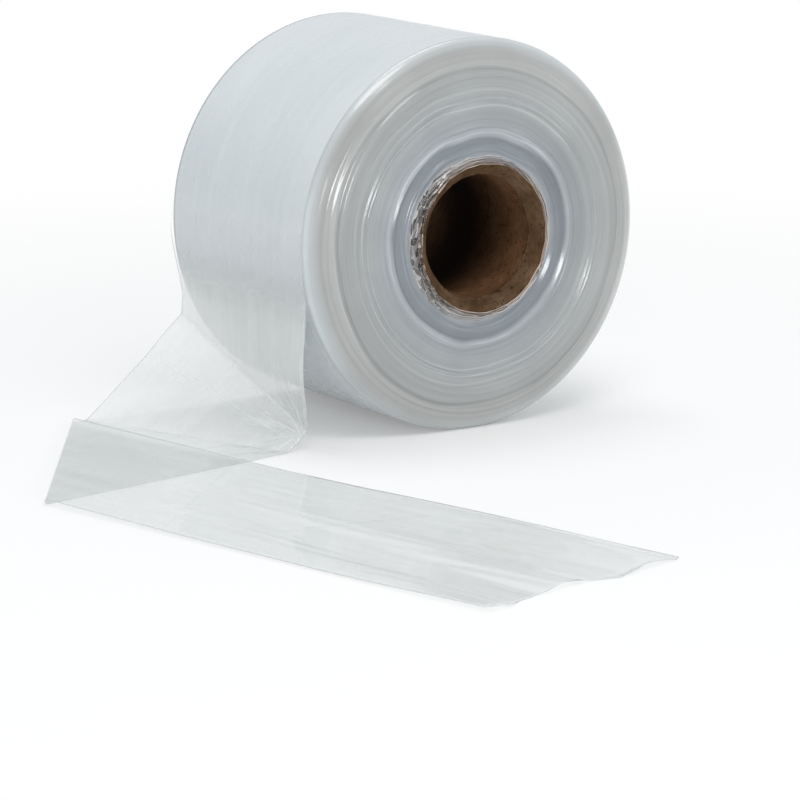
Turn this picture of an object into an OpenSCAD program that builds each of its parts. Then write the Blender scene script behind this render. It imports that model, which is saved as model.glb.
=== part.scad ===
// Roll of clear lay-flat poly tubing on a cardboard core, lying on its side with its end pulled loose.
// Millimetres. The roll's axis is Y, its open end face looks to -Y, and Z is up. The origin is on the axis.

/* [Roll] */

// Outside diameter of the wound film
roll_d = 242; // [200:1:280]

// Width of the flattened tube
web_w = 152.4; // [130:0.1:180]

// Depth of the flat spot that the soft roll rests on
flat_depth = 0.6; // [0.4:0.1:1]

// Where the outermost lap's front edge lies, measured from the origin
lap_edge = 72; // [66:1:78]

// How far the innermost turns stand out past the outermost lap's edge
dish = 12.8; // [8:0.2:14]

/* [Core] */

// Bore of the cardboard core
core_bore = 76.2; // [70:0.1:80]

// Wall of the cardboard core
core_wall = 7.6; // [5:0.1:10]

// Length of the worn bevel inside each mouth of the core
core_bevel = 7; // [4:0.1:12]

// Flat lip left outside the bevel
core_lip = 0.6; // [0.4:0.1:1]

// How far the core's front rim stands out past the innermost turns
core_stand = 1.6; // [0.5:0.1:3]

// How far the core's rear rim lies inside the innermost turns there
core_sink = 1.6; // [0:0.1:5]

/* [Crimped collar] */

// Radial width of the crinkled film edges around the core
collar_w = 5.2; // [4:0.1:7]

// Height of the crinkles over the wound face
collar_h = 1.6; // [1:0.1:2.5]

// Number of crinkles
crinkles = 22; // [16:1:30]

// Gap between the collar's straight-sided inner edge and the core
collar_gap = 0.3; // [0.3:0.1:0.8]

/* [Loose end] */

// Thickness of the loose end, drawn thicker than the film
film_t = 1; // [0.8:0.1:1.4]

// How far the loose end's front edge lies behind the outermost lap's
film_inset = 2; // [0:0.5:4]

// How far the film hugs the roll past its widest point, in degrees
hug = 12; // [8:1:16]

// Slant of the crease where the film peels off, in degrees
peel_slant = 8; // [4:1:10]

// Slant of the crease where the film leans out, in degrees
lean_slant = 17; // [14:1:20]

// Slant of the crease where the film meets the floor, in degrees
floor_slant = 12; // [8:1:16]

// Slant of the corner fold, in degrees
corner_slant = 43; // [38:1:48]

// Length of film on the floor from the corner fold to the cut edge
end_len = 330; // [280:5:360]

// Height of the ripples towards the cut edge
ripple_h = 3.2; // [1:0.1:4]

// How much further the cut edge lies at the back of the strip than at its front
cut_skew = 10; // [0:1:20]

// Depth of the waves in the cut edge
cut_wave = 3; // [0:0.5:5]

// Length of film past the corner fold that lies flat before the ripples start
ripple_from = 40; // [20:5:80]

/* [Hidden] */

roll_r = roll_d / 2;
bore_r = core_bore / 2;
core_r = bore_r + core_wall;
floor_z = flat_depth - roll_r;

// Winding profile of the end face: share of the wound depth from core to outside, and how far the turns
// there stand out, as a share of the dish. Every turn is one web wide, so what is proud in front is just as
// far back behind.
winding = [
    [0, 1], [0.028, 0.98], [0.088, 0.88], [0.106, 0.79], [0.128, 0.79], [0.161, 0.89], [0.178, 0.84],
    [0.229, 0.81], [0.255, 0.91], [0.282, 0.8], [0.318, 0.88], [0.357, 0.85], [0.43, 0.85],
    [0.489, 0.83], [0.502, 0.91], [0.518, 0.84], [0.534, 0.9], [0.553, 0.83], [0.598, 0.87],
    [0.679, 0.85], [0.751, 0.84], [0.778, 0.72], [0.823, 0.7], [0.839, 0.64], [0.879, 0.58],
    [0.912, 0.45], [0.939, 0.36], [0.968, 0.23], [0.989, 0.11], [1, 0]
];
last_turn = len(winding) - 1;
winding_back = [for (i = [0 : last_turn]) if (i % 2 == 0 || i == last_turn) winding[i]];
core_front = lap_edge + dish + core_stand;
core_len = core_stand + web_w - core_sink;

function turn_r(share) = core_r + share * (roll_r - core_r);
function turn_front(stand) = lap_edge + stand * dish;

// Loose end, worked out as a flat strip that is folded along straight creases.
// Flat coordinates: u runs along the strip, v runs across it from the front edge (0) to the back edge (web_w).
// A row is [u at the front edge, u at the back edge, degrees turned there].
sheet_r = roll_r - film_t * 0.8;
hug_above = 14;
hug_len = sheet_r * (hug_above + hug) * PI / 180;
columns = 12;

// Where each crease meets the front edge: the peel after the hugged length, the lean before the landing point,
// the lay after it, the corner fold after the lay's far end, and the place where the folded film lies flat
peel_at = 4;
lean_at = 8;
lay_at = 9;
corner_at = 12;
settle_at = 226;

// Lengths of strip over which the creases turn, and the radius and turn of the corner fold
peel_len = 2.2;
lean_len = 7;
lay_len = 6;
settle_len = 6;
fold_r = 2.2;
fold_turn = 181.6;

function skew(slant) = web_w * tan(slant);

// Rows that share one turn between them, over a given length of strip
function bend(u, slant, turn, length, steps) = [
    for (i = [0 : steps - 1]) let (at = u + length * ((i + 0.5) / steps - 0.5))
        [at, at + skew(slant), turn / steps]
];

// Flat rows spaced evenly between two rows
function between(a, b, steps) = [
    for (i = [1 : steps - 1]) [a[0] + (b[0] - a[0]) * i / steps, a[1] + (b[1] - a[1]) * i / steps, 0]
];

// A 4 x 4 matrix that turns space about the straight line through p along e
function about(p, e, turn) =
    let (n = e / norm(e), c = cos(turn), s = sin(turn), k = 1 - c,
        r = [
            [c + n.x * n.x * k, n.x * n.y * k - n.z * s, n.x * n.z * k + n.y * s],
            [n.y * n.x * k + n.z * s, c + n.y * n.y * k, n.y * n.z * k - n.x * s],
            [n.z * n.x * k - n.y * s, n.z * n.y * k + n.x * s, c + n.z * n.z * k]
        ],
        q = p - r * p)
    [[each r[0], q.x], [each r[1], q.y], [each r[2], q.z], [0, 0, 0, 1]];

function turn_at(row) = about([row[0], 0, 0], [row[1] - row[0], web_w, 0], row[2]);

// The strip's first frame, on the roll above its widest point; columns are along, across and inward
function first_frame() = let (a = hug_above) [
    [-sin(a), 0, cos(a), -sheet_r * cos(a)],
    [0, 1, 0, film_inset - lap_edge],
    [-cos(a), 0, -sin(a), sheet_r * sin(a)],
    [0, 0, 0, 1]
];

// The frame of the flat panel before each row, and after the last
function frames(rows) = [
    for (i = 0, m = first_frame(); i <= len(rows); m = m * (i < len(rows) ? turn_at(rows[i]) : 1), i = i + 1) m
];

function spot(m, u, v) = let (p = m * [u, v, 0, 1]) [p.x, p.y, p.z];
function inward(m) = [m[0][2], m[1][2], m[2][2]];

// Turns of the three creases that bring the hanging film flat on the floor for these slants
peel_turn = 12.12;
lean_turn = 56.10;
lay_turn = 37.53;

peel_rows = [
    each bend(hug_len / 2, 0, -(hug_above + hug), hug_len, 6),
    each bend(hug_len + peel_at, peel_slant, peel_turn, peel_len, 3)
];

function hanging(foot) = [
    each peel_rows,
    each bend(foot - lean_at, -lean_slant, lean_turn, lean_len, 4),
    each bend(foot + lay_at, floor_slant, lay_turn, lay_len, 5)
];

// Length of strip down to the floor: a first guess, corrected by the height at which it lands
foot_guess = hug_len + roll_r * 0.76;
landing = frames(hanging(foot_guess));
fall = landing[len(peel_rows)][2][0];
landed_z = spot(landing[len(landing) - 1], foot_guess + web_w, 0).z;
foot = foot_guess - (landed_z - floor_z - film_t * 0.6) / fall;

corner_u = foot + lay_at + skew(floor_slant) + corner_at + skew(corner_slant);
corner_rows = bend(corner_u, -corner_slant, fold_turn, PI * fold_r / cos(corner_slant), 8);
settle_rows = bend(corner_u + settle_at, -corner_slant, 180 - fold_turn, settle_len, 2);
cut_row = [corner_u + end_len, corner_u + end_len + cut_skew, 0];

rows = [
    each hanging(foot),
    each corner_rows,
    each between(corner_rows[7], settle_rows[0], 5),
    each settle_rows,
    each between(settle_rows[1], cut_row, 6),
    cut_row
];
panels = frames(rows);

// Lift of the rippled film on the floor, nothing before the corner fold and full at the cut edge
function ripple(u, v) =
    let (k = (u - corner_u - ripple_from) / (end_len - ripple_from), w = v / web_w)
    ripple_h * min(max(k, 0), 1) * (0.5 - 0.5 * cos(360 * (2.4 * w + 0.5 * k)));

function wave(v) = let (w = v / web_w) cut_wave * (sin(560 * w + 40) + 0.5 * sin(1240 * w));

function edge_row(i) = i < 0 ? [0, 0, 0] : rows[i];

// One face of the strip: side is 1 for the face turned to the roll and -1 for the other
function strip_face(side) = [
    for (i = [-1 : len(rows) - 1]) let (r = edge_row(i), m = panels[max(i, 0)], after = panels[i + 1],
        sum = inward(m) + inward(after), n = sum / norm(sum), reach = film_t / 2 / cos(r[2] / 2))
        for (j = [0 : columns]) let (v = web_w * j / columns,
            u = r[0] + (r[1] - r[0]) * j / columns + (i == len(rows) - 1 ? wave(v) : 0))
            spot(m, u, v) + n * (side * reach) + [0, 0, ripple(u, v)]
];

module film_strip() {
    high = len(rows) + 1;
    wide = columns + 1;
    half = high * wide;
    function at(i, j, face) = face * half + i * wide + j;
    polyhedron(
        points = [each strip_face(1), each strip_face(-1)],
        faces = [
            for (i = [0 : high - 2]) for (j = [0 : columns - 1]) each [
                [at(i, j, 0), at(i, j + 1, 0), at(i + 1, j, 0)],
                [at(i + 1, j, 0), at(i, j + 1, 0), at(i + 1, j + 1, 0)],
                [at(i, j, 1), at(i + 1, j, 1), at(i, j + 1, 1)],
                [at(i + 1, j, 1), at(i + 1, j + 1, 1), at(i, j + 1, 1)]
            ],
            for (i = [0 : high - 2]) for (e = [0, columns]) let (k = e == 0 ? [0, 1, 2, 3] : [3, 2, 1, 0],
                q = [at(i, e, 0), at(i + 1, e, 0), at(i + 1, e, 1), at(i, e, 1)])
                [for (s = k) q[s]],
            for (j = [0 : columns - 1]) for (e = [0, high - 1]) let (k = e == 0 ? [3, 2, 1, 0] : [0, 1, 2, 3],
                q = [at(e, j, 0), at(e, j + 1, 0), at(e, j + 1, 1), at(e, j, 1)])
                [for (s = k) q[s]]
        ]
    );
}

// The wound turns: one ring whose ends follow the winding profile
module wound_turns() {
    rotate([90, 0, 0])
        rotate_extrude($fn = 120)
            polygon([
                for (p = winding) [turn_r(p[0]), turn_front(p[1])],
                for (i = [len(winding_back) - 1 : -1 : 0]) let (p = winding_back[i])
                    [turn_r(p[0]), turn_front(p[1]) - web_w]
            ]);
}

// Crinkled film edges that stand up around the core in front
module crimped_collar() {
    count = crinkles * 2;
    function crest(i) = collar_h * (i % 2 == 0 ? 1 : 0.35) * (0.75 + 0.25 * sin(i * 137));
    ring = [
        for (i = [0 : count - 1]) let (a = 360 * (i + 0.35 * sin(i * 97)) / count, c = cos(a), s = sin(a),
            inner = core_r + collar_gap, outer = core_r + collar_w * (0.85 + 0.15 * sin(i * 211)))
            each [
                [inner * c, -turn_front(0.6), inner * s],
                [inner * c, -turn_front(1) - crest(i), inner * s],
                [outer * c, -turn_front(0.85) - crest(i) * 0.3, outer * s],
                [outer * c, -turn_front(0.6), outer * s]
            ]
    ];
    polyhedron(
        points = ring,
        faces = [
            for (i = [0 : count - 1]) let (n = (i + 1) % count) for (k = [0 : 3]) let (l = (k + 1) % 4) each [
                [4 * i + k, 4 * i + l, 4 * n + k],
                [4 * n + k, 4 * i + l, 4 * n + l]
            ]
        ]
    );
}

module core() {
    color([0.62, 0.47, 0.34])
        translate([0, -core_front, 0])
            rotate([-90, 0, 0])
                rotate_extrude($fn = 90)
                    polygon([
                        [bore_r, core_bevel], [core_r - core_lip, 0], [core_r, 0],
                        [core_r, core_len], [core_r - core_lip, core_len], [bore_r, core_len - core_bevel]
                    ]);
}

module tubing() {
    color([0.85, 0.91, 0.92, 0.6])
        union() {
            difference() {
                wound_turns();
                translate([-roll_r, -web_w, floor_z - roll_r])
                    cube([roll_d, 2 * web_w, roll_r]);
            }
            crimped_collar();
            film_strip();
        }
}

core();
tubing();
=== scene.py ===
"""Looks for a roll of clear poly tubing: wound film, crimped film round a cardboard core, and the loose end.

Shapes are worked out in millimetres in the CAD's own frame and turned into metres when a mesh is made.
"""

import math

import bpy
import numpy as np
from mathutils import Matrix


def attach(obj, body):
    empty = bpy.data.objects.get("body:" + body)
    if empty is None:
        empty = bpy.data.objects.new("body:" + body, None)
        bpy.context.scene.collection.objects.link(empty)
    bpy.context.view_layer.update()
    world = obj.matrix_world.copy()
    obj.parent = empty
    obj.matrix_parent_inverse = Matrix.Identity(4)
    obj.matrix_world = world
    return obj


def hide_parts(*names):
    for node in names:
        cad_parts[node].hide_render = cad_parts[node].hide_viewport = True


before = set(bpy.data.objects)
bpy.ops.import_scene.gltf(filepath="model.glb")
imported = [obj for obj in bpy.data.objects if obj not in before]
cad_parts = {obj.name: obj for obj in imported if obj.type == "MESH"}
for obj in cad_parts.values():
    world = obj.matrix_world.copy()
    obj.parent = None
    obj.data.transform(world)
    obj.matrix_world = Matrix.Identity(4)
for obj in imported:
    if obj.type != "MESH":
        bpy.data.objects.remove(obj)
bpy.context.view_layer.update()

# Sizes from the part's source, in mm
ROLL_R = 121.0
WEB_W = 152.4
LAP_EDGE = 72.0  # how far in front of the origin the outermost lap's edge lies
DISH = 12.8  # how far the innermost turns stand out past that edge
FLOOR_Z = -120.4
BORE_R = 38.1
CORE_R = 45.7
CORE_FRONT = -86.4  # the core's front rim, along Y
CORE_LEN = 152.4
CORE_BEVEL = 7.0  # how far its mouths are crushed back along the bore
CORE_LIP = 0.6  # how far its rims lie in from its outside
PLY = 0.5  # thickness of the loose end
SHEET_R = ROLL_R - 0.35  # radius at which the loose end lies on the roll
END_LEN = 330.0  # how far it runs on beyond its folded corner

# Creases of the loose end, as in the source: mm along it from its foot, and slants and turns in degrees
HUG_ABOVE, HUG = 14.0, 12.0  # it lies on the roll from so far above the axis to so far below
HUG_LEN = SHEET_R * math.radians(HUG_ABOVE + HUG)
HUG_ROWS, PEEL_ROWS = 24, 4
LEAN_AT, LEAN_SLANT, LEAN_TURN = -8, -17, 56.10
LAY_AT, LAY_SLANT, LAY_TURN = 9, 12, 37.53
PINCH_AT = -6  # where the front edge is pinched as it meets the floor
CORNER_SLANT = -43
FOLD_R, FOLD_TURN = 2.2, 181.6

# Shares of DISH by which the turns stand out, at shares of the way out from the core to the outermost lap
WINDING = [
    (0, 1), (0.028, 0.97), (0.056, 0.87), (0.072, 0.805), (0.084, 0.80), (0.127, 0.905), (0.15, 0.805),
    (0.224, 0.80), (0.259, 0.895), (0.284, 0.82), (0.318, 0.88), (0.357, 0.85), (0.43, 0.85),
    (0.489, 0.83), (0.502, 0.91), (0.518, 0.84), (0.534, 0.9), (0.553, 0.83), (0.598, 0.87),
    (0.679, 0.85), (0.751, 0.84), (0.778, 0.72), (0.823, 0.7), (0.839, 0.64), (0.879, 0.58),
    (0.912, 0.45), (0.939, 0.36), (0.968, 0.23), (0.989, 0.11), (1, 0),
]


# Small tools ---------------------------------------------------------------------------------------


def rng(seed):
    """Random numbers for one feature, so that a change to one leaves the rest as they are."""
    return np.random.default_rng(seed)


def smooth_noise(n, knots, seed, wrap=False):
    """n values of smooth noise, about -1 to 1, through that many random knots."""
    ys = rng(seed).uniform(-1, 1, knots)
    ys = np.append(ys, ys[0]) if wrap else np.append(ys, ys[-1])
    t = np.linspace(0, knots, n, endpoint=not wrap)
    i = np.minimum(t.astype(int), knots - 1)
    k = t - i
    k = k * k * (3 - 2 * k)
    return ys[i] * (1 - k) + ys[i + 1] * k


def grid_quads(rows, cols, wrap_rows=False, wrap_cols=False):
    """Quads of a grid of points, row by row, closed round either way if asked."""
    i = np.arange(rows if wrap_rows else rows - 1)
    j = np.arange(cols if wrap_cols else cols - 1)
    i, j = (a.ravel() for a in np.meshgrid(i, j, indexing="ij"))
    i2, j2 = (i + 1) % rows, (j + 1) % cols
    return np.stack([i * cols + j, i * cols + j2, i2 * cols + j2, i2 * cols + j], axis=1)


def add_mesh(name, points, faces, materials, slots=None, uv=None, smooth=True):
    """A mesh object from points in mm. uv holds one pair of mm per point, and slots one index per face."""
    mesh = bpy.data.meshes.new(name)
    mesh.from_pydata((np.asarray(points) * 0.001).tolist(), [], [list(map(int, f)) for f in faces])
    for m in materials:
        mesh.materials.append(m)
    if slots is not None:
        mesh.polygons.foreach_set("material_index", np.asarray(slots, dtype=np.int32))
    if uv is not None:
        corners = np.zeros(len(mesh.loops), dtype=np.int32)
        mesh.loops.foreach_get("vertex_index", corners)
        layer = mesh.uv_layers.new(name="Film")
        layer.data.foreach_set("uv", (np.asarray(uv)[corners] * 0.001).astype(np.float32).ravel())
    mesh.polygons.foreach_set("use_smooth", np.full(len(mesh.polygons), smooth))
    mesh.validate()
    mesh.update()
    piece = bpy.data.objects.new(name, mesh)
    bpy.context.scene.collection.objects.link(piece)
    return piece


class Nodes:
    """Short calls for building a material's nodes."""

    def __init__(self, name):
        self.material = bpy.data.materials.new(name)
        self.material.use_nodes = True
        self.tree = self.material.node_tree
        self.tree.nodes.clear()
        self.out = self.add("ShaderNodeOutputMaterial")

    def add(self, kind, inputs=None, **settings):
        node = self.tree.nodes.new(kind)
        for key, value in settings.items():
            setattr(node, key, value)
        for key, value in (inputs or {}).items():
            if isinstance(value, bpy.types.NodeSocket):
                self.tree.links.new(value, node.inputs[key])
            else:
                node.inputs[key].default_value = value
        return node

    def math(self, operation, a, b=0.0, c=0.0):
        return self.add("ShaderNodeMath", {0: a, 1: b, 2: c}, operation=operation).outputs[0]

    def ramp(self, factor, stops, interpolation="LINEAR"):
        node = self.add("ShaderNodeValToRGB", {0: factor})
        node.color_ramp.interpolation = interpolation
        elements = node.color_ramp.elements
        while len(elements) < len(stops):
            elements.new(0.5)
        for element, (at, colour) in zip(elements, stops):
            element.position = at
            element.color = (*colour, 1) if hasattr(colour, "__len__") else (colour, colour, colour, 1)
        return node.outputs[0]

    def mix(self, factor, a, b, blend="MIX"):
        """A mix of two colours. Its sockets go by number, because their names repeat."""
        node = self.add("ShaderNodeMix", data_type="RGBA", blend_type=blend)
        for socket, value in ((node.inputs[0], factor), (node.inputs[6], a), (node.inputs[7], b)):
            if isinstance(value, bpy.types.NodeSocket):
                self.tree.links.new(value, socket)
            else:
                socket.default_value = (*value, 1) if hasattr(value, "__len__") else value
        return node.outputs[2]

    def times(self, a, b):
        return self.mix(1.0, a, b, "MULTIPLY")

    def film_uv(self):
        return self.add("ShaderNodeUVMap", uv_map="Film").outputs[0]

    def split(self, vector):
        return self.add("ShaderNodeSeparateXYZ", {0: vector}).outputs

    def noise(self, vector, scale, detail=3.0, roughness=0.5, distortion=0.0):
        return self.add("ShaderNodeTexNoise", {
            "Vector": vector, "Scale": scale, "Detail": detail,
            "Roughness": roughness, "Distortion": distortion,
        }).outputs[0]

    def stretched(self, vector, scale, turn=0.0):
        """The vector times a scale along each axis, once it is turned by so many degrees."""
        return self.add("ShaderNodeMapping", {
            "Vector": vector, "Rotation": (0, 0, math.radians(turn)), "Scale": scale,
        }).outputs[0]

    def rings_round_the_axis(self):
        """The distance from the roll's axis, and a vector without a seam, round the axis and out from it."""
        x, _, z = self.split(self.add("ShaderNodeTexCoord").outputs["Object"])
        squared = self.math("ADD", self.math("MULTIPLY", x, x), self.math("MULTIPLY", z, z))
        radius = self.math("MAXIMUM", self.math("SQRT", squared), 0.001)
        wound = self.add("ShaderNodeCombineXYZ", {
            0: self.math("DIVIDE", x, radius), 1: self.math("DIVIDE", z, radius), 2: radius,
        }).outputs[0]
        return radius, wound

    def bump(self, height, strength, distance, normal=None):
        inputs = {"Height": height, "Strength": strength, "Distance": distance}
        if normal is not None:
            inputs["Normal"] = normal
        return self.add("ShaderNodeBump", inputs).outputs[0]

    def surface(self, shader):
        self.tree.links.new(shader, self.out.inputs["Surface"])
        return self.material


# Materials -----------------------------------------------------------------------------------------


def film_side_material():
    """Many clear turns over each other: milky, pale and glossy, with drawn-tight wrinkles."""
    n = Nodes("film_side")
    uv = n.film_uv()
    clouds = n.noise(n.stretched(uv, (9, 16, 1), 12), 1.0, 3, 0.5)
    streaks = n.noise(n.stretched(uv, (2.2, 150, 1)), 1.0, 3, 0.55)
    colour = n.ramp(clouds, [(0.3, (0.595, 0.65, 0.675)), (0.7, (0.655, 0.70, 0.71))])
    colour = n.mix(0.10, colour, n.ramp(streaks, [(0.35, (0.50, 0.55, 0.58)), (0.7, (0.76, 0.79, 0.79))]))
    drawn = n.noise(n.stretched(uv, (20, 90, 1), 28), 1.0, 3, 0.5, 0.5)
    normal = n.bump(n.ramp(drawn, [(0.45, 0.0), (0.62, 1.0)]), 0.14, 0.0006)
    normal = n.bump(streaks, 0.10, 0.0004, normal)
    rough = n.ramp(n.noise(n.stretched(uv, (30, 60, 1)), 1.0, 3), [(0.3, 0.22), (0.7, 0.34)])
    shader = n.add("ShaderNodeBsdfPrincipled", {
        "Base Color": colour, "Roughness": rough, "Normal": normal,
        "IOR": 1.5, "Coat Weight": 0.3, "Coat Roughness": 0.1,
    })
    return n.surface(shader.outputs[0])


def film_edge_material():
    """The web's stacked edges: grey rings that get lighter towards the outside."""
    n = Nodes("film_edge")
    radius, wound = n.rings_round_the_axis()
    wander = n.noise(n.stretched(wound, (0.9, 0.9, 9)), 1.0, 2, 0.5)
    radius = n.math("MULTIPLY_ADD", n.math("SUBTRACT", wander, 0.5), 0.012, radius)
    share = n.math("DIVIDE", n.math("SUBTRACT", radius, CORE_R * 0.001), (ROLL_R - CORE_R) * 0.001)
    zones = n.ramp(share, [
        (0.00, (0.36, 0.36, 0.365)), (0.075, (0.31, 0.33, 0.35)), (0.115, (0.195, 0.22, 0.245)),
        (0.22, (0.165, 0.19, 0.21)), (0.255, (0.345, 0.375, 0.395)), (0.31, (0.275, 0.30, 0.315)),
        (0.46, (0.275, 0.292, 0.295)), (0.53, (0.31, 0.325, 0.33)), (0.71, (0.305, 0.32, 0.318)),
        (0.76, (0.27, 0.28, 0.275)), (0.79, (0.35, 0.36, 0.35)), (0.89, (0.345, 0.352, 0.342)),
        (0.935, (0.41, 0.43, 0.432)), (1.0, (0.52, 0.56, 0.575)),
    ])
    fine = n.noise(n.stretched(wound, (0.15, 0.15, 620)), 1.0, 3, 0.5)
    broad = n.noise(n.stretched(wound, (0.25, 0.25, 105)), 1.0, 3, 0.55)
    haze = n.noise(n.stretched(wound, (1.6, 1.6, 16)), 1.0, 3, 0.5)
    single = [(0.0, 1.0)]  # single turns that show as thin dark lines, and thin light lines that are partly such turns and partly painted highlight
    # The light lines (tone above 1) are partly painted highlight on proud turns
    for at, tone in (
        (0.136, 1.3), (0.269, 1.4), (0.307, 0.8), (0.335, 1.12), (0.478, 1.4), (0.532, 1.4), (0.598, 1.2),
        (0.622, 0.84), (0.752, 0.7), (0.782, 1.25),
    ):
        single += [(at - 0.009, 1.0), (at, tone), (at + 0.007, 1.0)]
    comes = n.ramp(n.noise(n.stretched(wound, (1.5, 1.5, 22)), 1.0, 2), [(0.38, 0.12), (0.6, 1.0)])
    colour = n.mix(comes, zones, n.times(zones, n.ramp(share, single)))
    for texture, dark, light in ((fine, 0.95, 1.05), (broad, 0.86, 1.14), (haze, 0.93, 1.08)):
        colour = n.times(colour, n.ramp(texture, [(0.30, dark), (0.70, light)]))
    normal = n.bump(broad, 0.35, 0.0008, n.bump(fine, 0.32, 0.0004))
    turned = n.add("ShaderNodeTangent", direction_type="RADIAL", axis="Y").outputs[0]
    shader = n.add("ShaderNodeBsdfPrincipled", {
        "Base Color": colour, "Roughness": n.ramp(broad, [(0.3, 0.40), (0.7, 0.5)]), "Normal": normal,
        "Anisotropic": 0.85, "Anisotropic Rotation": 0.25, "Tangent": turned,
        "IOR": 1.5, "Coat Weight": 1.0, "Coat Roughness": 0.13,
    })
    return n.surface(shader.outputs[0])


def film_crimp_material():
    """Crumpled film round the core: milky patches between creases that are partly whitened film and partly
    painted highlight, with painted shade and glints where it is most crumpled.
    """
    n = Nodes("film_crimp")
    uv = n.film_uv()
    radius, wound = n.rings_round_the_axis()
    crumpled = n.math("MULTIPLY_ADD", n.split(wound)[0], -0.5, 0.5)
    crumpled = n.ramp(crumpled, [(0.60, 0.0), (0.92, 1.0)], "EASE")
    bent = n.add("ShaderNodeTexNoise", {
        "Vector": n.stretched(uv, (120, 240, 1)), "Scale": 1.0, "Detail": 2.0,
    }).outputs["Color"]
    at = n.add("ShaderNodeVectorMath", {
        0: bent, 1: (2.6, 2.6, 0), 2: n.stretched(uv, (170, 640, 1), 14),
    }, operation="MULTIPLY_ADD").outputs[0]
    cells = {"Vector": at, "Scale": 1.0}
    patch = n.add("ShaderNodeTexVoronoi", cells, voronoi_dimensions="2D").outputs["Color"]
    edge = n.add("ShaderNodeTexVoronoi", cells, voronoi_dimensions="2D", feature="DISTANCE_TO_EDGE")
    edge = edge.outputs["Distance"]
    drawn = n.noise(n.stretched(uv, (14, 760, 1), 3), 1.0, 2, 0.5, 0.4)
    calm = n.ramp(drawn, [
        (0.34, (0.15, 0.13, 0.118)), (0.45, (0.32, 0.295, 0.28)), (0.60, (0.60, 0.585, 0.575)),
    ])
    # Painted shade and glints: where it is crumpled, near-black patches stand for the shade between the
    # crumples and pale ones for glints on them
    crumple_shade_and_glints = n.ramp(n.split(patch)[0], [
        (0.2, (0.035, 0.028, 0.023)), (0.4, (0.12, 0.105, 0.095)),
        (0.75, (0.20, 0.19, 0.18)), (0.95, (0.55, 0.54, 0.53)),
    ])
    colour = n.mix(n.math("MULTIPLY_ADD", crumpled, 0.75, 0.15), calm, crumple_shade_and_glints)
    shown = n.math("MULTIPLY_ADD", crumpled, 0.7, 0.3)
    # Pale lines along the crumples' edges: partly whitened film, partly painted highlight
    crease = n.math("MULTIPLY", n.ramp(edge, [(0.015, 0.7), (0.05, 0.0)]), shown)
    colour = n.mix(crease, colour, (0.70, 0.695, 0.69))
    off_board = n.math("MULTIPLY", n.math("SUBTRACT", radius, 0.0455), 190.0)
    brown = n.ramp(off_board, [
        (0.0, (0.90, 0.74, 0.62)), (0.45, (0.98, 0.95, 0.93)), (1.0, (0.98, 1.0, 1.02)),
    ])
    shader = n.add("ShaderNodeBsdfPrincipled", {
        "Base Color": n.times(colour, brown),
        "Roughness": 0.25, "IOR": 1.5, "Normal": n.bump(edge, 0.3, 0.0005),
        "Coat Weight": 0.6, "Coat Roughness": 0.08,
    })
    return n.surface(shader.outputs[0])


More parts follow.
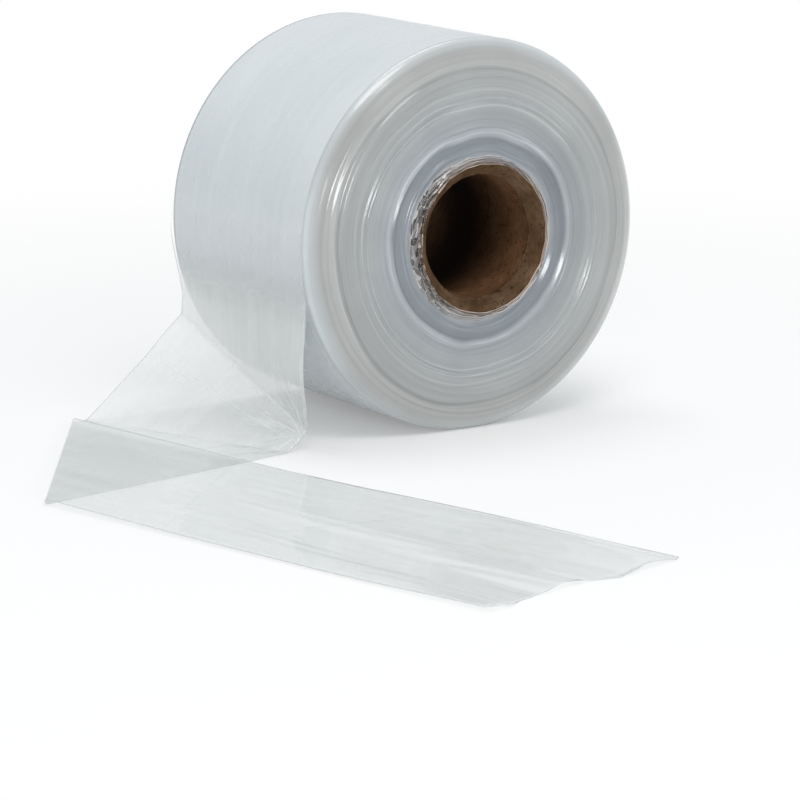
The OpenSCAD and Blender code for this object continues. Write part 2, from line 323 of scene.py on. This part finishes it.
def film_loose_material(foot, corner):
    """Two plies of clear film, seen through and shiny, with whitened creases, and painted paler where it hangs,
    for light coming through it from behind.

    It fades in where it leaves the roll. foot and corner are places along it in mm: where it lands on the
    floor, and where it is folded over.
    """
    n = Nodes("film_loose")
    uv = n.film_uv()
    along, across, _ = n.split(uv)
    drawn = n.noise(n.stretched(uv, (7, 70, 1), 4), 1.0, 4, 0.5, 0.6)
    specks = n.noise(n.stretched(uv, (60, 160, 1)), 1.0, 3, 0.6)
    normal = n.bump(specks, 0.08, 0.0004, n.bump(drawn, 0.35, 0.0012))
    # Painted light: where the film hangs it is made paler and more opaque, for light coming through it from
    # behind
    hanging_backlight = n.ramp(along, [
        (0.030, 0.0), (0.062, 1.0), (0.105, 1.0), (foot * 0.001, 0.2), (foot * 0.001 + 0.02, 0.0),
    ])
    laid = n.ramp(drawn, [(0.3, (0.72, 0.75, 0.75)), (0.7, (0.84, 0.86, 0.855))])
    body = n.add("ShaderNodeBsdfPrincipled", {
        "Base Color": n.mix(hanging_backlight, laid, (0.93, 0.945, 0.94)),
        "Roughness": 0.10, "Normal": normal, "IOR": 1.5, "Coat Weight": 1.0, "Coat Roughness": 0.03,
    }).outputs[0]
    lies = n.ramp(n.math("MULTIPLY", along, 10.0), [(0.36, 0.0), (0.80, 1.0)], "EASE")
    clear = n.add("ShaderNodeBsdfTransparent", {
        "Color": n.mix(lies, (1, 1, 1), (0.982, 0.987, 0.987)),
    }).outputs[0]

    # How much of the film shows: more where it is drawn, at a slant, and where it hangs, which is painted light
    # coming through it from behind
    facing = n.add("ShaderNodeLayerWeight", {"Blend": 0.3, "Normal": normal}).outputs["Facing"]
    cover = n.math("MULTIPLY_ADD", n.ramp(drawn, [(0.42, 0.0), (0.75, 1.0)]), 0.10, 0.13)
    cover = n.math("MULTIPLY_ADD", n.math("POWER", facing, 2.8), 0.7, cover)
    cover = n.math("MULTIPLY_ADD", hanging_backlight, 0.26, cover)

    # Long creases: place, slant, width in mm and whiteness
    patchy = n.ramp(n.noise(n.stretched(uv, (28, 28, 1)), 1.0, 2), [(0.34, 0.15), (0.6, 1.0)])
    for front, slant, width, amount in (
        (foot + LEAN_AT, LEAN_SLANT, 0.9, 0.42), (foot + LAY_AT, LAY_SLANT, 0.8, 0.34),
        (foot + 2, -8, 0.6, 0.2), (corner, CORNER_SLANT, 1.2, 0.25),
        (corner + 120, 24, 0.7, 0.12), (corner + 96, -31, 0.6, 0.1),
    ):
        crease = n.math("MULTIPLY_ADD", across, math.tan(math.radians(slant)), front * 0.001)
        off = n.math("ABSOLUTE", n.math("SUBTRACT", along, crease))
        off = n.math("MULTIPLY", off, 1000 * math.cos(math.radians(slant)) / width)
        line = n.ramp(n.math("MULTIPLY", off, 0.5), [(0.0, 1.0), (0.16, 0.75), (1.0, 0.0)], "EASE")
        cover = n.math("MULTIPLY_ADD", n.math("MULTIPLY", line, patchy), amount, cover)

    # Short creases that fan out from the pinch at the front edge
    du = n.math("SUBTRACT", along, (foot + PINCH_AT) * 0.001)
    dv = n.math("SUBTRACT", across, 0.002)
    away = n.math("SQRT", n.math("ADD", n.math("MULTIPLY", du, du), n.math("MULTIPLY", dv, dv)))
    spoke = n.add("ShaderNodeCombineXYZ", {
        0: n.math("MULTIPLY", n.math("ARCTAN2", dv, du), 3.6), 1: n.math("MULTIPLY", away, 9.0), 2: 0.0,
    }).outputs[0]
    spokes = n.ramp(n.noise(spoke, 1.0, 3, 0.6), [(0.50, 0.0), (0.56, 1.0), (0.63, 0.0)])
    near = n.ramp(n.math("MULTIPLY", away, 10.0), [(0.03, 1.0), (0.62, 0.0)], "EASE")
    cover = n.math("MULTIPLY_ADD", n.math("MULTIPLY", spokes, near), 0.45, cover)
    cover = n.math("MULTIPLY", n.math("MINIMUM", cover, 0.92), lies)
    return n.surface(n.add("ShaderNodeMixShader", {0: cover, 1: clear, 2: body}).outputs[0])


def film_fold_material():
    """The two folded edges and the cut edge of the loose end, where the plies lie close and look darker."""
    n = Nodes("film_fold")
    uv = n.film_uv()
    along = n.split(uv)[0]
    worn = n.noise(n.stretched(uv, (90, 90, 1)), 1.0, 3, 0.6)
    body = n.add("ShaderNodeBsdfPrincipled", {
        "Base Color": n.ramp(worn, [(0.3, (0.50, 0.54, 0.55)), (0.7, (0.70, 0.73, 0.74))]),
        "Roughness": 0.15, "IOR": 1.5, "Coat Weight": 0.6, "Coat Roughness": 0.05,
    }).outputs[0]
    clear = n.add("ShaderNodeBsdfTransparent", {"Color": (0.95, 0.96, 0.96, 1)}).outputs[0]
    lies = n.ramp(n.math("MULTIPLY", along, 10.0), [(0.2, 0.0), (0.5, 1.0)], "EASE")
    cover = n.math("MULTIPLY", n.ramp(worn, [(0.3, 0.5), (0.7, 0.75)]), lies)
    return n.surface(n.add("ShaderNodeMixShader", {0: cover, 1: clear, 2: body}).outputs[0])


def board_material():
    """Kraft board: fibres, plies wound in a spiral, a scuffed pale mouth, and an inside with painted shade that
    goes nearly black towards the middle of the bore.
    """
    n = Nodes("core_board")
    at = n.add("ShaderNodeTexCoord").outputs["Object"]
    uv = n.film_uv()
    around, along, _ = n.split(uv)
    half, middle = CORE_LEN / 2 * 0.001, (CORE_FRONT + CORE_LEN / 2) * 0.001
    depth = n.math("SUBTRACT", half, n.math("ABSOLUTE", n.math("SUBTRACT", n.split(at)[1], middle)))
    fibres = n.noise(n.stretched(uv, (170, 800, 1), 35), 1.0, 5, 0.65)
    blots = n.noise(at, 60, 4, 0.6)
    mouth = n.ramp(blots, [
        (0.28, (0.060, 0.033, 0.016)), (0.5, (0.095, 0.056, 0.030)), (0.75, (0.155, 0.098, 0.060)),
    ])
    inside = n.ramp(blots, [
        (0.28, (0.12, 0.056, 0.025)), (0.5, (0.175, 0.088, 0.042)), (0.75, (0.24, 0.128, 0.066)),
    ])
    # Painted shade: the inside goes nearly black towards the middle of the bore
    darker = n.ramp(n.math("MULTIPLY", depth, 12.0), [(0.10, 0.0), (0.85, 1.0)], "EASE")
    shaded_inside = n.mix(darker, inside, (0.008, 0.003, 0.001))
    colour = n.mix(n.ramp(n.math("MULTIPLY", depth, 50.0), [(0.36, 0.0), (0.56, 1.0)]), mouth, shaded_inside)
    colour = n.times(colour, n.ramp(fibres, [(0.3, 0.72), (0.7, 1.28)]))

    # The torn edge of the mouth's crushed ply, then specks, then the seam of the spiral
    torn = n.math("SUBTRACT", depth, n.math("MULTIPLY_ADD", blots, 0.006, 0.005))
    torn = n.math("MULTIPLY_ADD", torn, 260.0, 0.5)
    colour = n.times(colour, n.ramp(torn, [(0.28, 1.0), (0.42, 1.4), (0.5, 0.35), (0.68, 1.0)]))
    specks = n.noise(at, 380, 2, 0.5)
    colour = n.mix(n.ramp(specks, [(0.63, 0.0), (0.70, 0.8)]), colour, (0.24, 0.22, 0.20), "MULTIPLY")
    once_round, pitch = 0.2871, 0.112
    turns = n.math("ADD", n.math("DIVIDE", around, once_round), n.math("DIVIDE", along, pitch))
    seam = n.math("ABSOLUTE", n.math("SUBTRACT", n.math("FRACT", turns), 0.5))
    seam = n.ramp(seam, [(0.0, 0.45), (0.004, 0.45), (0.012, 0.0)])
    colour = n.mix(seam, colour, (0.35, 0.32, 0.3), "MULTIPLY")

    normal = n.bump(specks, 0.5, 0.0006, n.bump(fibres, 0.7, 0.0005))
    normal = n.bump(blots, 0.4, 0.0012, normal)
    shader = n.add("ShaderNodeBsdfPrincipled", {
        "Base Color": colour, "Normal": normal, "IOR": 1.4, "Specular IOR Level": 0.05,
        "Roughness": n.ramp(fibres, [(0.3, 0.72), (0.7, 0.92)]),
    })
    return n.surface(shader.outputs[0])


def floor_material():
    """White floor that keeps the shadow near the roll and runs out to plain white in the background."""
    n = Nodes("floor")
    at = n.add("ShaderNodeTexCoord").outputs["Object"]
    colour = n.ramp(n.noise(at, 3, 2), [(0.3, (0.905, 0.91, 0.91)), (0.7, (0.92, 0.92, 0.92))])
    body = n.add("ShaderNodeBsdfPrincipled", {"Base Color": colour, "Roughness": 0.8, "IOR": 1.3}).outputs[0]
    white = n.add("ShaderNodeEmission", {"Color": (1, 1, 1, 1), "Strength": 1.0}).outputs[0]
    ray = n.add("ShaderNodeLightPath").outputs
    mirrored = n.math("MAXIMUM", ray["Is Glossy Ray"], ray["Is Transmission Ray"])
    seen = n.math("MAXIMUM", ray["Is Camera Ray"], mirrored)
    away = n.add("ShaderNodeVectorMath", {0: at}, operation="LENGTH").outputs["Value"]
    far = n.ramp(n.math("MULTIPLY", away, 0.5), [(0.10, 0.25), (0.5, 1.0)], "EASE")
    shader = n.add("ShaderNodeMixShader", {0: n.math("MULTIPLY", far, seen), 1: body, 2: white})
    return n.surface(shader.outputs[0])


# Wound film ----------------------------------------------------------------------------------------

AROUND = 300  # points round the roll
FRONT_ROWS = 138  # rows of points across the front face
FRONT, SIDE, BACK, SEAT = range(4)  # the faces that a row of points can be on


def stand_out(r):
    """How far the turns at radius r stand out past the outermost lap's edge."""
    share = (np.asarray(r) - CORE_R) / (ROLL_R - CORE_R)
    return DISH * np.interp(share, [p[0] for p in WINDING], [p[1] for p in WINDING])


def film_profile():
    """Radius, place along Y and face of each row: out over the front, along the side, and back to the core."""
    front_r = np.linspace(CORE_R, ROLL_R, FRONT_ROWS)
    back_r = np.linspace(ROLL_R, CORE_R, 70)
    side_y = np.linspace(-LAP_EDGE, WEB_W - LAP_EDGE, 66)[1:-1]
    seat_y = np.linspace(WEB_W - LAP_EDGE - DISH, -LAP_EDGE - DISH, 6)[1:-1]
    r = np.concatenate([front_r, np.full(len(side_y), ROLL_R), back_r, np.full(len(seat_y), CORE_R)])
    y = np.concatenate([
        -LAP_EDGE - stand_out(front_r), side_y, WEB_W - LAP_EDGE - stand_out(back_r), seat_y,
    ])
    face = np.repeat([FRONT, SIDE, BACK, SEAT], [len(front_r), len(side_y), len(back_r), len(seat_y)])
    return r, y, face


def turns_wander(rr, tt):
    """How far single turns stand in by a few tenths of a millimetre, more on one side than on the other."""
    fine = rng(5).normal(0, 0.02, len(rr)) + 0.10 * smooth_noise(len(rr), 60, 6)
    fine[rng(8).choice(FRONT_ROWS, 6, replace=False)] += 0.30
    lean = smooth_noise(len(rr), 40, 7) * 0.22
    drift = 0.55 * np.sin(tt + 1.9 + rr * 0.04) + 0.4 * np.sin(2 * tt + rr * 0.13)
    drift += 0.25 * np.sin(3 * tt - rr * 0.21)
    drift *= np.clip((ROLL_R - rr) / 12, 0, 1) * np.clip((rr - CORE_R) / 8, 0, 1)
    wandered = stand_out(rr) - stand_out(np.clip(rr + drift, CORE_R, ROLL_R))
    sway = fine[:, None] * (1 + 0.5 * np.sin(tt * 2 + rr * 0.11)) + lean[:, None] * np.sin(tt + rr * 0.05)
    fade = np.clip((ROLL_R - rr) / 6, 0, 1) * np.clip((rr - CORE_R) / 1.5, 0, 1)
    return sway * fade + wandered


def side_swells(rr, tt, yy, side):
    """Slack bands round the side and drawn wrinkles across it, both dying out at its edges."""
    across = (yy + LAP_EDGE) / WEB_W
    fade = np.clip(np.sin(np.clip(across, 0, 1) * math.pi), 0, 1) ** 0.5
    bands = 0.16 * smooth_noise(np.count_nonzero(side), 26, 9)
    skewed = tt * ROLL_R / 58 - yy / 19
    wrinkles = 0.10 * np.sin(skewed * 2.1 + 1.3 * np.sin(tt * 5)) * np.clip(np.sin(tt * 3 + yy / 40), 0, 1)
    wrinkles += 0.07 * np.sin(tt * ROLL_R / 21 + yy / 9 + 2 * np.sin(tt * 4 + 1))
    swell = np.zeros_like(rr)
    swell[side] = bands[:, None] + wrinkles[side]
    return swell * fade - np.where(side[:, None], 0.6 * np.exp(-across * 45), 0)


def wound_film():
    """All the wound turns as one closed skin: the winding's profile turned round the axis."""
    r, y, face = film_profile()
    theta = np.linspace(-0.5 * math.pi, 1.5 * math.pi, AROUND, endpoint=False)
    rr, tt = np.meshgrid(r, theta, indexing="ij")
    ends = (face == FRONT) | (face == BACK)
    yy = y[:, None] + np.where(ends[:, None], turns_wander(rr, tt), 0)
    rr = rr + side_swells(rr, tt, yy, face == SIDE)
    x, z = rr * np.cos(tt), rr * np.sin(tt)
    z = np.maximum(z, FLOOR_Z + 0.02)
    points = np.stack([x, yy, z], axis=-1).reshape(-1, 3)
    faces = grid_quads(len(r), AROUND, wrap_rows=True, wrap_cols=True)
    slots = (face[faces[:, 0] // AROUND] != SIDE).astype(int)
    uv = np.stack([tt * ROLL_R, np.where(ends[:, None], rr, yy)], axis=-1).reshape(-1, 2)
    piece = add_mesh("wound_film", points, faces, [film_side_material(), film_edge_material()], slots, uv)
    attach(piece, "root")
    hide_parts("tubing")


# Crimped film round the core -----------------------------------------------------------------------


def crimp_ring(name, radii, crest, root, steps, crumple, seed, material, side=-1):
    """A closed ring of film edges drawn round the core, in straight runs and crumpled on one side.

    radii are the inner and outer radius, crest and root are places along Y, steps is how many straight runs
    the ring would have if all were smooth, and crumple is how far its points move where it is crumpled, in mm.
    """
    g = rng(seed)
    start = -0.4
    corners, at = [], start
    while at < 2 * math.pi + start - 0.05:
        corners.append(at)
        left = 0.5 - 0.5 * math.cos(at)
        at += (2 * math.pi / steps) * g.uniform(0.5, 1.5) * (1 - 0.66 * left ** 3)
    theta = np.array(corners)
    count = len(theta)
    left = (0.5 - 0.5 * np.cos(theta)) ** 3
    move = crumple * (0.22 + left)
    inner, outer = radii
    wide = 1.0 * left + 0.8 * np.clip(-np.sin(theta), 0, 1)  # the ring is wider on that side and below

    # Its section, from the inner root over the crest to the outer root: shares across and up, and how loose
    across = np.array([0.10, 0.0, 0.05, 0.24, 0.34, 0.62, 0.94, 1.0])
    height = np.array([0.0, 0.70, 1.0, 1.0, 0.82, 0.55, 0.30, 0.0])
    loose = np.array([0.0, 0.4, 1.0, 1.0, 1.0, 0.9, 0.7, 0.0])
    shared = g.uniform(-0.5, 0.5, count) * move
    rings, marks, run = [], [], 0.0
    for i, (k, h, free) in enumerate(zip(across, height, loose)):
        r = inner + (outer - inner + wide) * k + (g.uniform(-0.35, 0.35, count) * move + shared) * free
        y = root + (crest - root) * h + side * g.uniform(-1.0, 0.7, count) * move * free
        turn = theta + g.uniform(-0.5, 0.5, count) * move * free / outer
        rings.append(np.stack([r * np.cos(turn), y, r * np.sin(turn)], axis=-1))
        if i:
            run += math.hypot((outer - inner) * (k - across[i - 1]), (crest - root) * (h - height[i - 1]))
        marks.append(np.stack([theta * outer, np.full(count, run)], axis=-1))
    points = np.stack(rings, axis=1).reshape(-1, 3)
    faces = grid_quads(count, len(across), wrap_rows=True, wrap_cols=True)
    if side > 0:
        faces = faces[:, ::-1]
    tris = np.concatenate([faces[:, [0, 1, 2]], faces[:, [0, 2, 3]]])
    piece = add_mesh(name, points, tris, [material], uv=np.stack(marks, axis=1).reshape(-1, 2), smooth=False)
    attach(piece, "root")
    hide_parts("tubing")


def crimps():
    """Three rings round the core's front mouth, the innermost the proudest, and one round the back."""
    film = film_crimp_material()
    front = -LAP_EDGE - DISH
    crimp_ring("crimp_front_inner", (45.6, 47.3), front - 2.4, front + 3, 30, 0.9, 21, film)
    crimp_ring("crimp_front_middle", (46.9, 49.1), front - 1.7, front + 3, 27, 1.0, 22, film)
    crimp_ring("crimp_front_outer", (48.6, 51.2), front - 0.8, front + 4, 25, 0.9, 23, film)
    back = front + WEB_W
    crimp_ring("crimp_back", (45.75, 48.4), back + 0.9, back - 3, 40, 0.5, 24, film, side=1)


# Cardboard core ------------------------------------------------------------------------------------


def core_board():
    """The cardboard tube: ragged, crushed mouths, the bore, and the plain outside that the film hides."""
    count = 320
    theta = np.linspace(-0.5 * math.pi, 1.5 * math.pi, count, endpoint=False)
    mouth = np.array([0, 0.08, 0.2, 0.32, 0.44, 0.56, 0.68, 0.8, 0.88, 0.94, 0.97, 1.0])
    lip_r = CORE_R - CORE_LIP
    profile = []  # radius, place along Y and how ragged: front mouth, bore, back mouth, outside
    for k in mouth:
        profile.append((lip_r + (BORE_R - lip_r) * k, CORE_FRONT + CORE_BEVEL * k ** 1.25, 0.2 + 1.3 * k ** 2))
    for k in np.linspace(0, 1, 38)[1:-1]:
        torn = (1 - k) ** 14 + 0.5 * k ** 14
        profile.append((BORE_R, CORE_FRONT + CORE_BEVEL + (CORE_LEN - 2 * CORE_BEVEL) * k, torn))
    for k in mouth[::-1]:
        y = CORE_FRONT + CORE_LEN - CORE_BEVEL * k ** 1.25
        profile.append((lip_r + (BORE_R - lip_r) * k, y, 0.2 + 0.6 * k))
    for k in np.linspace(1, 0, 6):
        profile.append((CORE_R, CORE_FRONT + CORE_LEN * k, 0.0))
    r, y, ragged = (np.array(c, dtype=float)[:, None] for c in zip(*profile))
    rows = len(profile)
    chips = np.stack([smooth_noise(count, 58, 40 + i // 2, wrap=True) for i in range(rows)])
    dents = np.stack([smooth_noise(count, 15, 80 + i // 4, wrap=True) for i in range(rows)])
    front = y < 0
    yy = y + np.where(front, 1, -1) * ragged * (0.24 * chips + 0.55 * dents)
    rr = r - ragged * (0.16 * chips + 0.10 * dents)
    rr = np.where(r > CORE_R - 0.01, r, np.minimum(rr, lip_r + 0.3))
    tt = np.broadcast_to(theta, rr.shape)
    points = np.stack([rr * np.cos(tt), yy, rr * np.sin(tt)], axis=-1).reshape(-1, 3)
    faces = grid_quads(rows, count, wrap_rows=True, wrap_cols=True)[:, ::-1]
    run = np.concatenate([[0], np.cumsum(np.hypot(np.diff(r[:, 0]), np.diff(y[:, 0])))])
    uv = np.stack([tt * CORE_R, np.repeat(run[:, None], count, axis=1)], axis=-1).reshape(-1, 2)
    piece = add_mesh("core_board", points, faces, [board_material()], uv=uv)
    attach(piece, "root")
    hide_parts("core")


# Loose end -----------------------------------------------------------------------------------------
# A flat strip folded along straight creases, as in the source. u runs along it, and v across it from the
# front edge.

COLS = 65  # points across the strip


def skew(slant):
    """How much further along a crease of that slant meets the back edge than the front edge."""
    return WEB_W * math.tan(math.radians(slant))


def bend(u, slant, turn, length, steps):
    """Rows that share one turn between them, eased in and out over that length of strip."""
    at = (np.arange(steps) + 0.5) / steps
    share = np.sin(at * math.pi) ** 0.6
    share = share / share.sum()
    places = u + length * (at - 0.5)
    return [(place, place + skew(slant), turn * s) for place, s in zip(places, share)]


def about(p, e, degrees):
    """A 4 x 4 matrix that turns space about the line through p along e."""
    turn = Matrix.Rotation(math.radians(degrees), 4, e.tolist())
    return np.array(Matrix.Translation(p) @ turn @ Matrix.Translation(-np.array(p)))


def frames(rows):
    """4 x 4 matrices that place the flat strip: one before the first crease row, and one after each."""
    a = math.radians(HUG_ABOVE)
    m = np.array([
        [-math.sin(a), 0, math.cos(a), -SHEET_R * math.cos(a)],
        [0, 1, 0, 2.0 - LAP_EDGE],
        [-math.cos(a), 0, -math.sin(a), SHEET_R * math.sin(a)],
        [0, 0, 0, 1],
    ])
    out = [m]
    for front, back, turn in rows:
        m = m @ about((front, 0, 0), np.array([back - front, WEB_W, 0]), turn)
        out.append(m)
    return out


def hanging(foot):
    """Crease rows from the roll to the foot of the strip on the floor: hug, peel, lean and lay."""
    return [
        *bend(HUG_LEN / 2, 0, -(HUG_ABOVE + HUG), HUG_LEN, HUG_ROWS),
        *bend(HUG_LEN + 4, 8, 12.12, 4, PEEL_ROWS),
        *bend(foot + LEAN_AT, LEAN_SLANT, LEAN_TURN, 7, 12),
        *bend(foot + LAY_AT, LAY_SLANT, LAY_TURN, 6, 9),
    ]


def loose_rows():
    """All crease rows, with flat ones in the gaps between them, and the places of the foot and the corner."""
    foot = ROLL_R + 26
    for _ in range(3):  # the foot moves until the strip lands on the floor
        landed = frames(hanging(foot))[-1] @ [foot + 100, 0, 0, 1]
        fall = frames(hanging(foot)[:HUG_ROWS + PEEL_ROWS])[-1][2, 0]
        foot -= (landed[2] - FLOOR_Z - PLY / 2 - 0.15) / fall
    corner = foot + LAY_AT + skew(LAY_SLANT) + 12 + skew(-CORNER_SLANT)
    rows = hanging(foot)
    fold_len = math.pi * FOLD_R / math.cos(math.radians(CORNER_SLANT))
    rows += bend(corner, CORNER_SLANT, FOLD_TURN, fold_len, 12)
    rows += bend(corner + 226, CORNER_SLANT, 180 - FOLD_TURN, 40, 6)  # lays the tail level again
    rows.append((corner + END_LEN, corner + END_LEN + 10, 0))
    filled, last = [], (0.0, 0.0, 0.0)
    for row in rows:
        gap = max(row[0] - last[0], row[1] - last[1])
        count = max(1, int(math.ceil(gap / 4.0)))
        for i in range(1, count):
            k = i / count
            filled.append((last[0] + (row[0] - last[0]) * k, last[1] + (row[1] - last[1]) * k, 0.0))
        filled.append(row)
        last = row
    return filled, foot, corner


def folded_strip(rows):
    """The strip's middle: points, normals and flat places, in one line across it per crease row."""
    mats = frames(rows)
    w = np.linspace(0, 1, COLS)
    v = WEB_W * w
    lines, normals, flat = [], [], []
    for i, (front, back, _) in enumerate([(0.0, 0.0, 0.0)] + rows):
        before, after = mats[max(i - 1, 0)], mats[i]
        u = front + (back - front) * w
        if i == len(rows):  # the cut edge wanders
            wander = np.sin(np.radians(560 * w + 40)) + 0.5 * np.sin(np.radians(1240 * w))
            u = u + 3 * wander + 0.5 * np.sin(w * 61)
        lines.append((before @ np.stack([u, v, np.zeros(COLS), np.ones(COLS)]))[:3].T)
        normal = before[:3, 2] + after[:3, 2]
        normals.append(np.repeat((normal / np.linalg.norm(normal))[None], COLS, axis=0))
        flat.append(np.stack([u, v], axis=-1))
    return np.array(lines), np.array(normals), np.array(flat)


def tail_ripples(u, v, corner):
    """Heights of the ripples along the film on the floor, as in the source, with finer ones on top."""
    k = (u - corner - 40) / (END_LEN - 40)
    broad = 3.2 * np.clip(k, 0, 1) * (0.5 - 0.5 * np.cos(2 * math.pi * (2.4 * v / WEB_W + 0.5 * k)))
    fine = 0.45 * np.clip((u - corner - 20) / 60, 0, 1) * (
        np.sin(v / 4.3 + 0.7 * np.sin(u / 37)) + 0.6 * np.sin(v / 2.6 + u / 90 + 2)
    )
    return broad + np.where(k > 0, np.abs(fine) * 0.6, 0)


def hanging_creases(u, v, foot):
    """Shifts along the normals: creases that run out from the pinch, and the soft drape of the hanging film."""
    du, dv = u - (foot + PINCH_AT), v - 3
    away, angle = np.hypot(du, dv), np.arctan2(dv, du)
    rays = np.sin(9 * angle + 0.4) + 0.7 * np.sin(15 * angle + 2.0) + 0.4 * np.sin(27 * angle)
    creases = rays * np.exp(-away / 38) * away / (away + 9) * np.clip((u - 68) / 24, 0, 1)
    free = np.clip((u - 66) / (foot - 74), 0, 1)
    drape = 1.5 * np.sin(math.pi * free) ** 2 * (0.4 + np.sin(v / 24 + u / 60))
    return creases - np.where(u < foot, drape, 0)


def slipping_out(u):
    """Shifts along the normals where the film slips out from under the outermost lap, and then lifts off it."""
    buried = 0.9 * np.clip((HUG_LEN * 0.5 - u) / (HUG_LEN * 0.3), 0, 1)
    return buried - 0.85 * np.clip((u - 24) / 10, 0, 1) * np.clip((110 - u) / 45, 0, 1)


def loose_end():
    """The loose end of the film, from the outermost lap to its cut edge, as a closed thin sheet."""
    rows, foot, corner = loose_rows()
    lines, normals, flat = folded_strip(rows)
    u, v = flat[..., 0], flat[..., 1]
    lines[..., 2] += tail_ripples(u, v, corner)
    lines += normals * hanging_creases(u, v, foot)[..., None]
    lines += normals * slipping_out(u)[..., None]

    # Both faces, half a thickness off the middle and never below the floor
    upper, lower = lines + normals * (PLY / 2), lines - normals * (PLY / 2)
    lowest = FLOOR_Z + 0.05
    for side, on_top in ((upper, normals[..., 2] > 0.5), (lower, normals[..., 2] < -0.5)):
        side[..., 2] = np.maximum(side[..., 2], np.where(on_top, lowest + PLY, lowest))
    points = np.concatenate([upper.reshape(-1, 3), lower.reshape(-1, 3)])

    # The faces' quads, then the strip of quads round the rim between them
    high = len(lines)
    sheet = grid_quads(high, COLS)
    below = high * COLS
    rim = np.concatenate([
        np.arange(COLS), np.arange(1, high) * COLS + COLS - 1,
        (high - 1) * COLS + np.arange(COLS - 2, -1, -1), np.arange(high - 2, 0, -1) * COLS,
    ])
    following = np.roll(rim, -1)
    edge = np.stack([rim, rim + below, following + below, following], axis=1)
    faces = np.concatenate([sheet, sheet[:, ::-1] + below, edge])
    uv = np.concatenate([flat.reshape(-1, 2)] * 2)
    slots = np.repeat([0, 0, 1], [len(sheet), len(sheet), len(edge)])
    film = [film_loose_material(foot, corner), film_fold_material()]
    piece = add_mesh("loose_end", points, faces, film, slots, uv)
    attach(piece, "root")
    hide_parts("tubing")


# Room, lamps and camera ----------------------------------------------------------------------------


def lamp(name, at, size, watts):
    """A soft rectangular lamp, aimed at the origin."""
    data = bpy.data.lights.new(name, "AREA")
    data.shape = "RECTANGLE"
    data.size, data.size_y = size
    data.energy = watts
    obj = bpy.data.objects.new(name, data)
    obj.location = at
    aim = Matrix.Translation(at).to_translation() * -1
    obj.rotation_euler = aim.to_track_quat("-Z", "Y").to_euler()
    bpy.context.scene.collection.objects.link(obj)


def room():
    """A pale floor, plain light from all round, and soft lamps. The low front one makes the rings glint."""
    size, z = 9000.0, FLOOR_Z - 0.2
    corners = [(-size, -size, z), (size, -size, z), (size, size, z), (-size, size, z)]
    add_mesh("floor", corners, [(0, 1, 2, 3)], [floor_material()], smooth=False)
    world = bpy.data.worlds.new("room")
    world.use_nodes = True
    tree = world.node_tree
    back = tree.nodes["Background"]
    ray = tree.nodes.new("ShaderNodeLightPath")
    mirrored = tree.nodes.new("ShaderNodeMapRange")  # plain light, and a whiter room where it is mirrored
    mirrored.inputs["To Min"].default_value, mirrored.inputs["To Max"].default_value = 0.55, 0.75
    tree.links.new(ray.outputs["Is Glossy Ray"], mirrored.inputs["Value"])
    tree.links.new(mirrored.outputs["Result"], back.inputs["Strength"])
    back.inputs["Color"].default_value = (0.96, 0.98, 1.0, 1)
    bpy.context.scene.world = world
    lamp("key", (-0.8, -1.8, 3.05), (1.7, 1.3), 38)
    lamp("front", (-0.62, -3.25, 0.42), (1.25, 0.5), 30)
    lamp("right", (2.8, -1.6, 1.3), (1.2, 1.6), 4)
    lamp("left", (-3.0, 0.5, 0.25), (1.4, 0.9), 5)
    lamp("top", (0.3, 0.6, 3.2), (2.2, 1.4), 30)


def camera():
    """The photo's view, fitted to the outlines of the roll, its bore and its loose end."""
    azimuth, elevation = math.radians(-33.42), math.radians(12.41)
    level = math.cos(elevation)
    ahead = (-math.sin(azimuth) * level, math.cos(azimuth) * level, -math.sin(elevation))
    right = (math.cos(azimuth), math.sin(azimuth), 0.0)
    up = np.cross(right, ahead)
    data = bpy.data.cameras.new("camera")
    data.sensor_width = 36.0
    data.lens = 171.45
    data.clip_end = 60.0
    obj = bpy.data.objects.new("camera", data)
    turn = Matrix(np.array([right, up, [-a for a in ahead]]).T.tolist()).to_4x4()
    obj.matrix_world = Matrix.Translation((-1.2991, -1.9623, 0.4013)) @ turn
    bpy.context.scene.collection.objects.link(obj)
    bpy.context.scene.camera = obj


camera()
room()
core_board()
wound_film()
crimps()
loose_end()

bpy.context.scene.view_settings.view_transform = "Standard"
